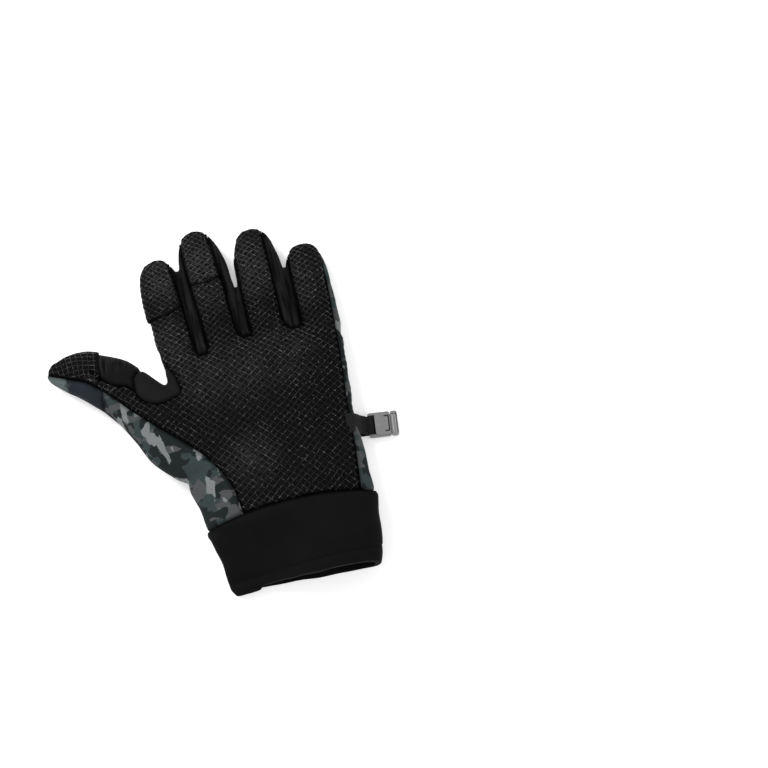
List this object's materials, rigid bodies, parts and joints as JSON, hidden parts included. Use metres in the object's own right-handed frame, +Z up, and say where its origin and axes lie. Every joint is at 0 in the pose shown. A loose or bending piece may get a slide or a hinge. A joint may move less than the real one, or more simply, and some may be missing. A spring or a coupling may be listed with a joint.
{
  "type": "left-hand fishing glove",
  "caption": "Full-finger left-hand glove with a silicone-net grip palm, camouflage back, slit finger ends, straight cuff and a clip strap.",
  "frame": {"origin": "on the flat underside of the back, below the middle of the palm, where the glove rests", "axes": "+Y from the wrist to the fingertips, +X towards the little finger and the strap, +Z up out of the palm"},
  "size_m": [0.2139, 0.2426, 0.0298],
  "materials": {
    "grip_print": "matte black knit under a raised grey silicone net",
    "silicone_net": "raised grey silicone lines in a diamond net",
    "sewing_thread": "black polyester thread",
    "camouflage": null,
    "plain_knit": "matte plain black stretch cloth",
    "smooth_patch": "smooth dark grey microfibre",
    "neoprene": "soft matte black neoprene with a fine knit face",
    "webbing": "matte black woven webbing",
    "buckle_plastic": "mid-grey moulded plastic, satin"
  },
  "bodies": {
    "root": {"palm_panel": "grip_print", "index_cap": "grip_print", "middle_cap": "grip_print", "thumb_cap": "grip_print", "back_panel": "camouflage", "fourchette_index_middle": "plain_knit", "fourchette_middle_ring": "plain_knit", "fourchette_ring_little": "plain_knit", "thumb_gusset": "plain_knit", "crotch_patch": "smooth_patch", "cuff": "neoprene", "strap": "webbing", "buckle_socket": "buckle_plastic", "buckle_tongue": "buckle_plastic"}
  },
  "joints": []
}
